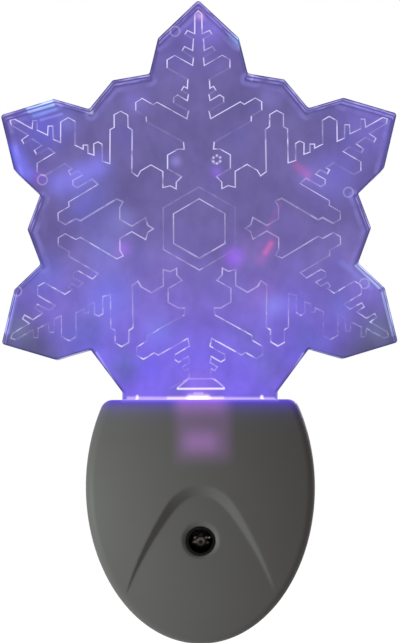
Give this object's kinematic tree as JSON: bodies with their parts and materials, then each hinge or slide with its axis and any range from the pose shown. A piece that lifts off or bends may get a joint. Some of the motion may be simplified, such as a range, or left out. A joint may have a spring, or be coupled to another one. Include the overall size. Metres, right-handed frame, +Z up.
{
  "type": "plug-in night light",
  "caption": "Wall night light: an edge-lit clear snowflake panel stands in the flat top of an oval white housing with a photocell and a swivel two-blade plug.",
  "frame": {"origin": "plug axis midway between the two blades, on the plane of the housing's back", "axes": "+Y along the blades into the wall, +Z up towards the snowflake, +X to the right as seen from the room"},
  "size_m": [0.086, 0.043, 0.1394],
  "materials": {
    "white_shell": "fine satin moulded ABS, white, looks grey in dim light",
    "clear_acrylic": "clear polished acrylic, edge-lit violet blue by the LED",
    "white_reflector": "white acetal, matt",
    "led_epoxy": "water-clear epoxy, lit violet blue",
    "sensor_epoxy": "dark tinted epoxy lens, polished",
    "tinned_wire": "tinned copper wire",
    "black_sleeve": "black moulded sleeve, matt",
    "board_laminate": "paper laminate board, tan",
    "capacitor_case": "film capacitor case, ochre",
    "capacitor_can": "aluminium can in a dark blue sleeve",
    "black_epoxy": "moulded black epoxy",
    "resistor_lacquer": "lacquered ceramic body",
    "diode_glass": "sealed glass body",
    "bronze_spring": "phosphor bronze strip",
    "spring_steel": "spring steel",
    "zinc_screw": "bright zinc plated steel",
    "white_plug": "white moulded plug base, satin",
    "plated_blade": "nickel plated brass blade",
    "contact_brass": "bare brass"
  },
  "bodies": {
    "housing": {"front_housing": "white_shell", "rear_housing": "white_shell", "snowflake_panel": "clear_acrylic", "light_shroud": "white_reflector", "led_body": "led_epoxy", "led_leads": "tinned_wire", "photo_sensor": "sensor_epoxy", "sensor_leads": "tinned_wire", "sensor_sleeve": "black_sleeve", "circuit_board": "board_laminate", "dropper_capacitor": "capacitor_case", "smoothing_capacitor": "capacitor_can", "bridge_rectifier": "black_epoxy", "transistor": "black_epoxy", "fusible_resistor": "resistor_lacquer", "resistors": "resistor_lacquer", "zener_diode": "diode_glass", "component_leads": "tinned_wire", "line_contact_spring": "bronze_spring", "neutral_contact_spring": "bronze_spring", "swivel_retainer": "white_reflector", "friction_washer": "spring_steel", "housing_screws": "zinc_screw", "board_screws": "zinc_screw", "retainer_screws": "zinc_screw"},
    "plug": {"plug_disc": "white_plug", "plug_blade_left": "plated_blade", "plug_blade_right": "plated_blade", "inner_contact_ring": "contact_brass", "outer_contact_ring": "contact_brass", "contact_rivets": "contact_brass"}
  },
  "joints": [
    {"name": "plug_swivel", "type": "hinge", "parent": "housing", "child": "plug", "pos_m": [0, 0, 0], "axis": [0, 1, 0], "range_deg": [0, 90]}
  ]
}
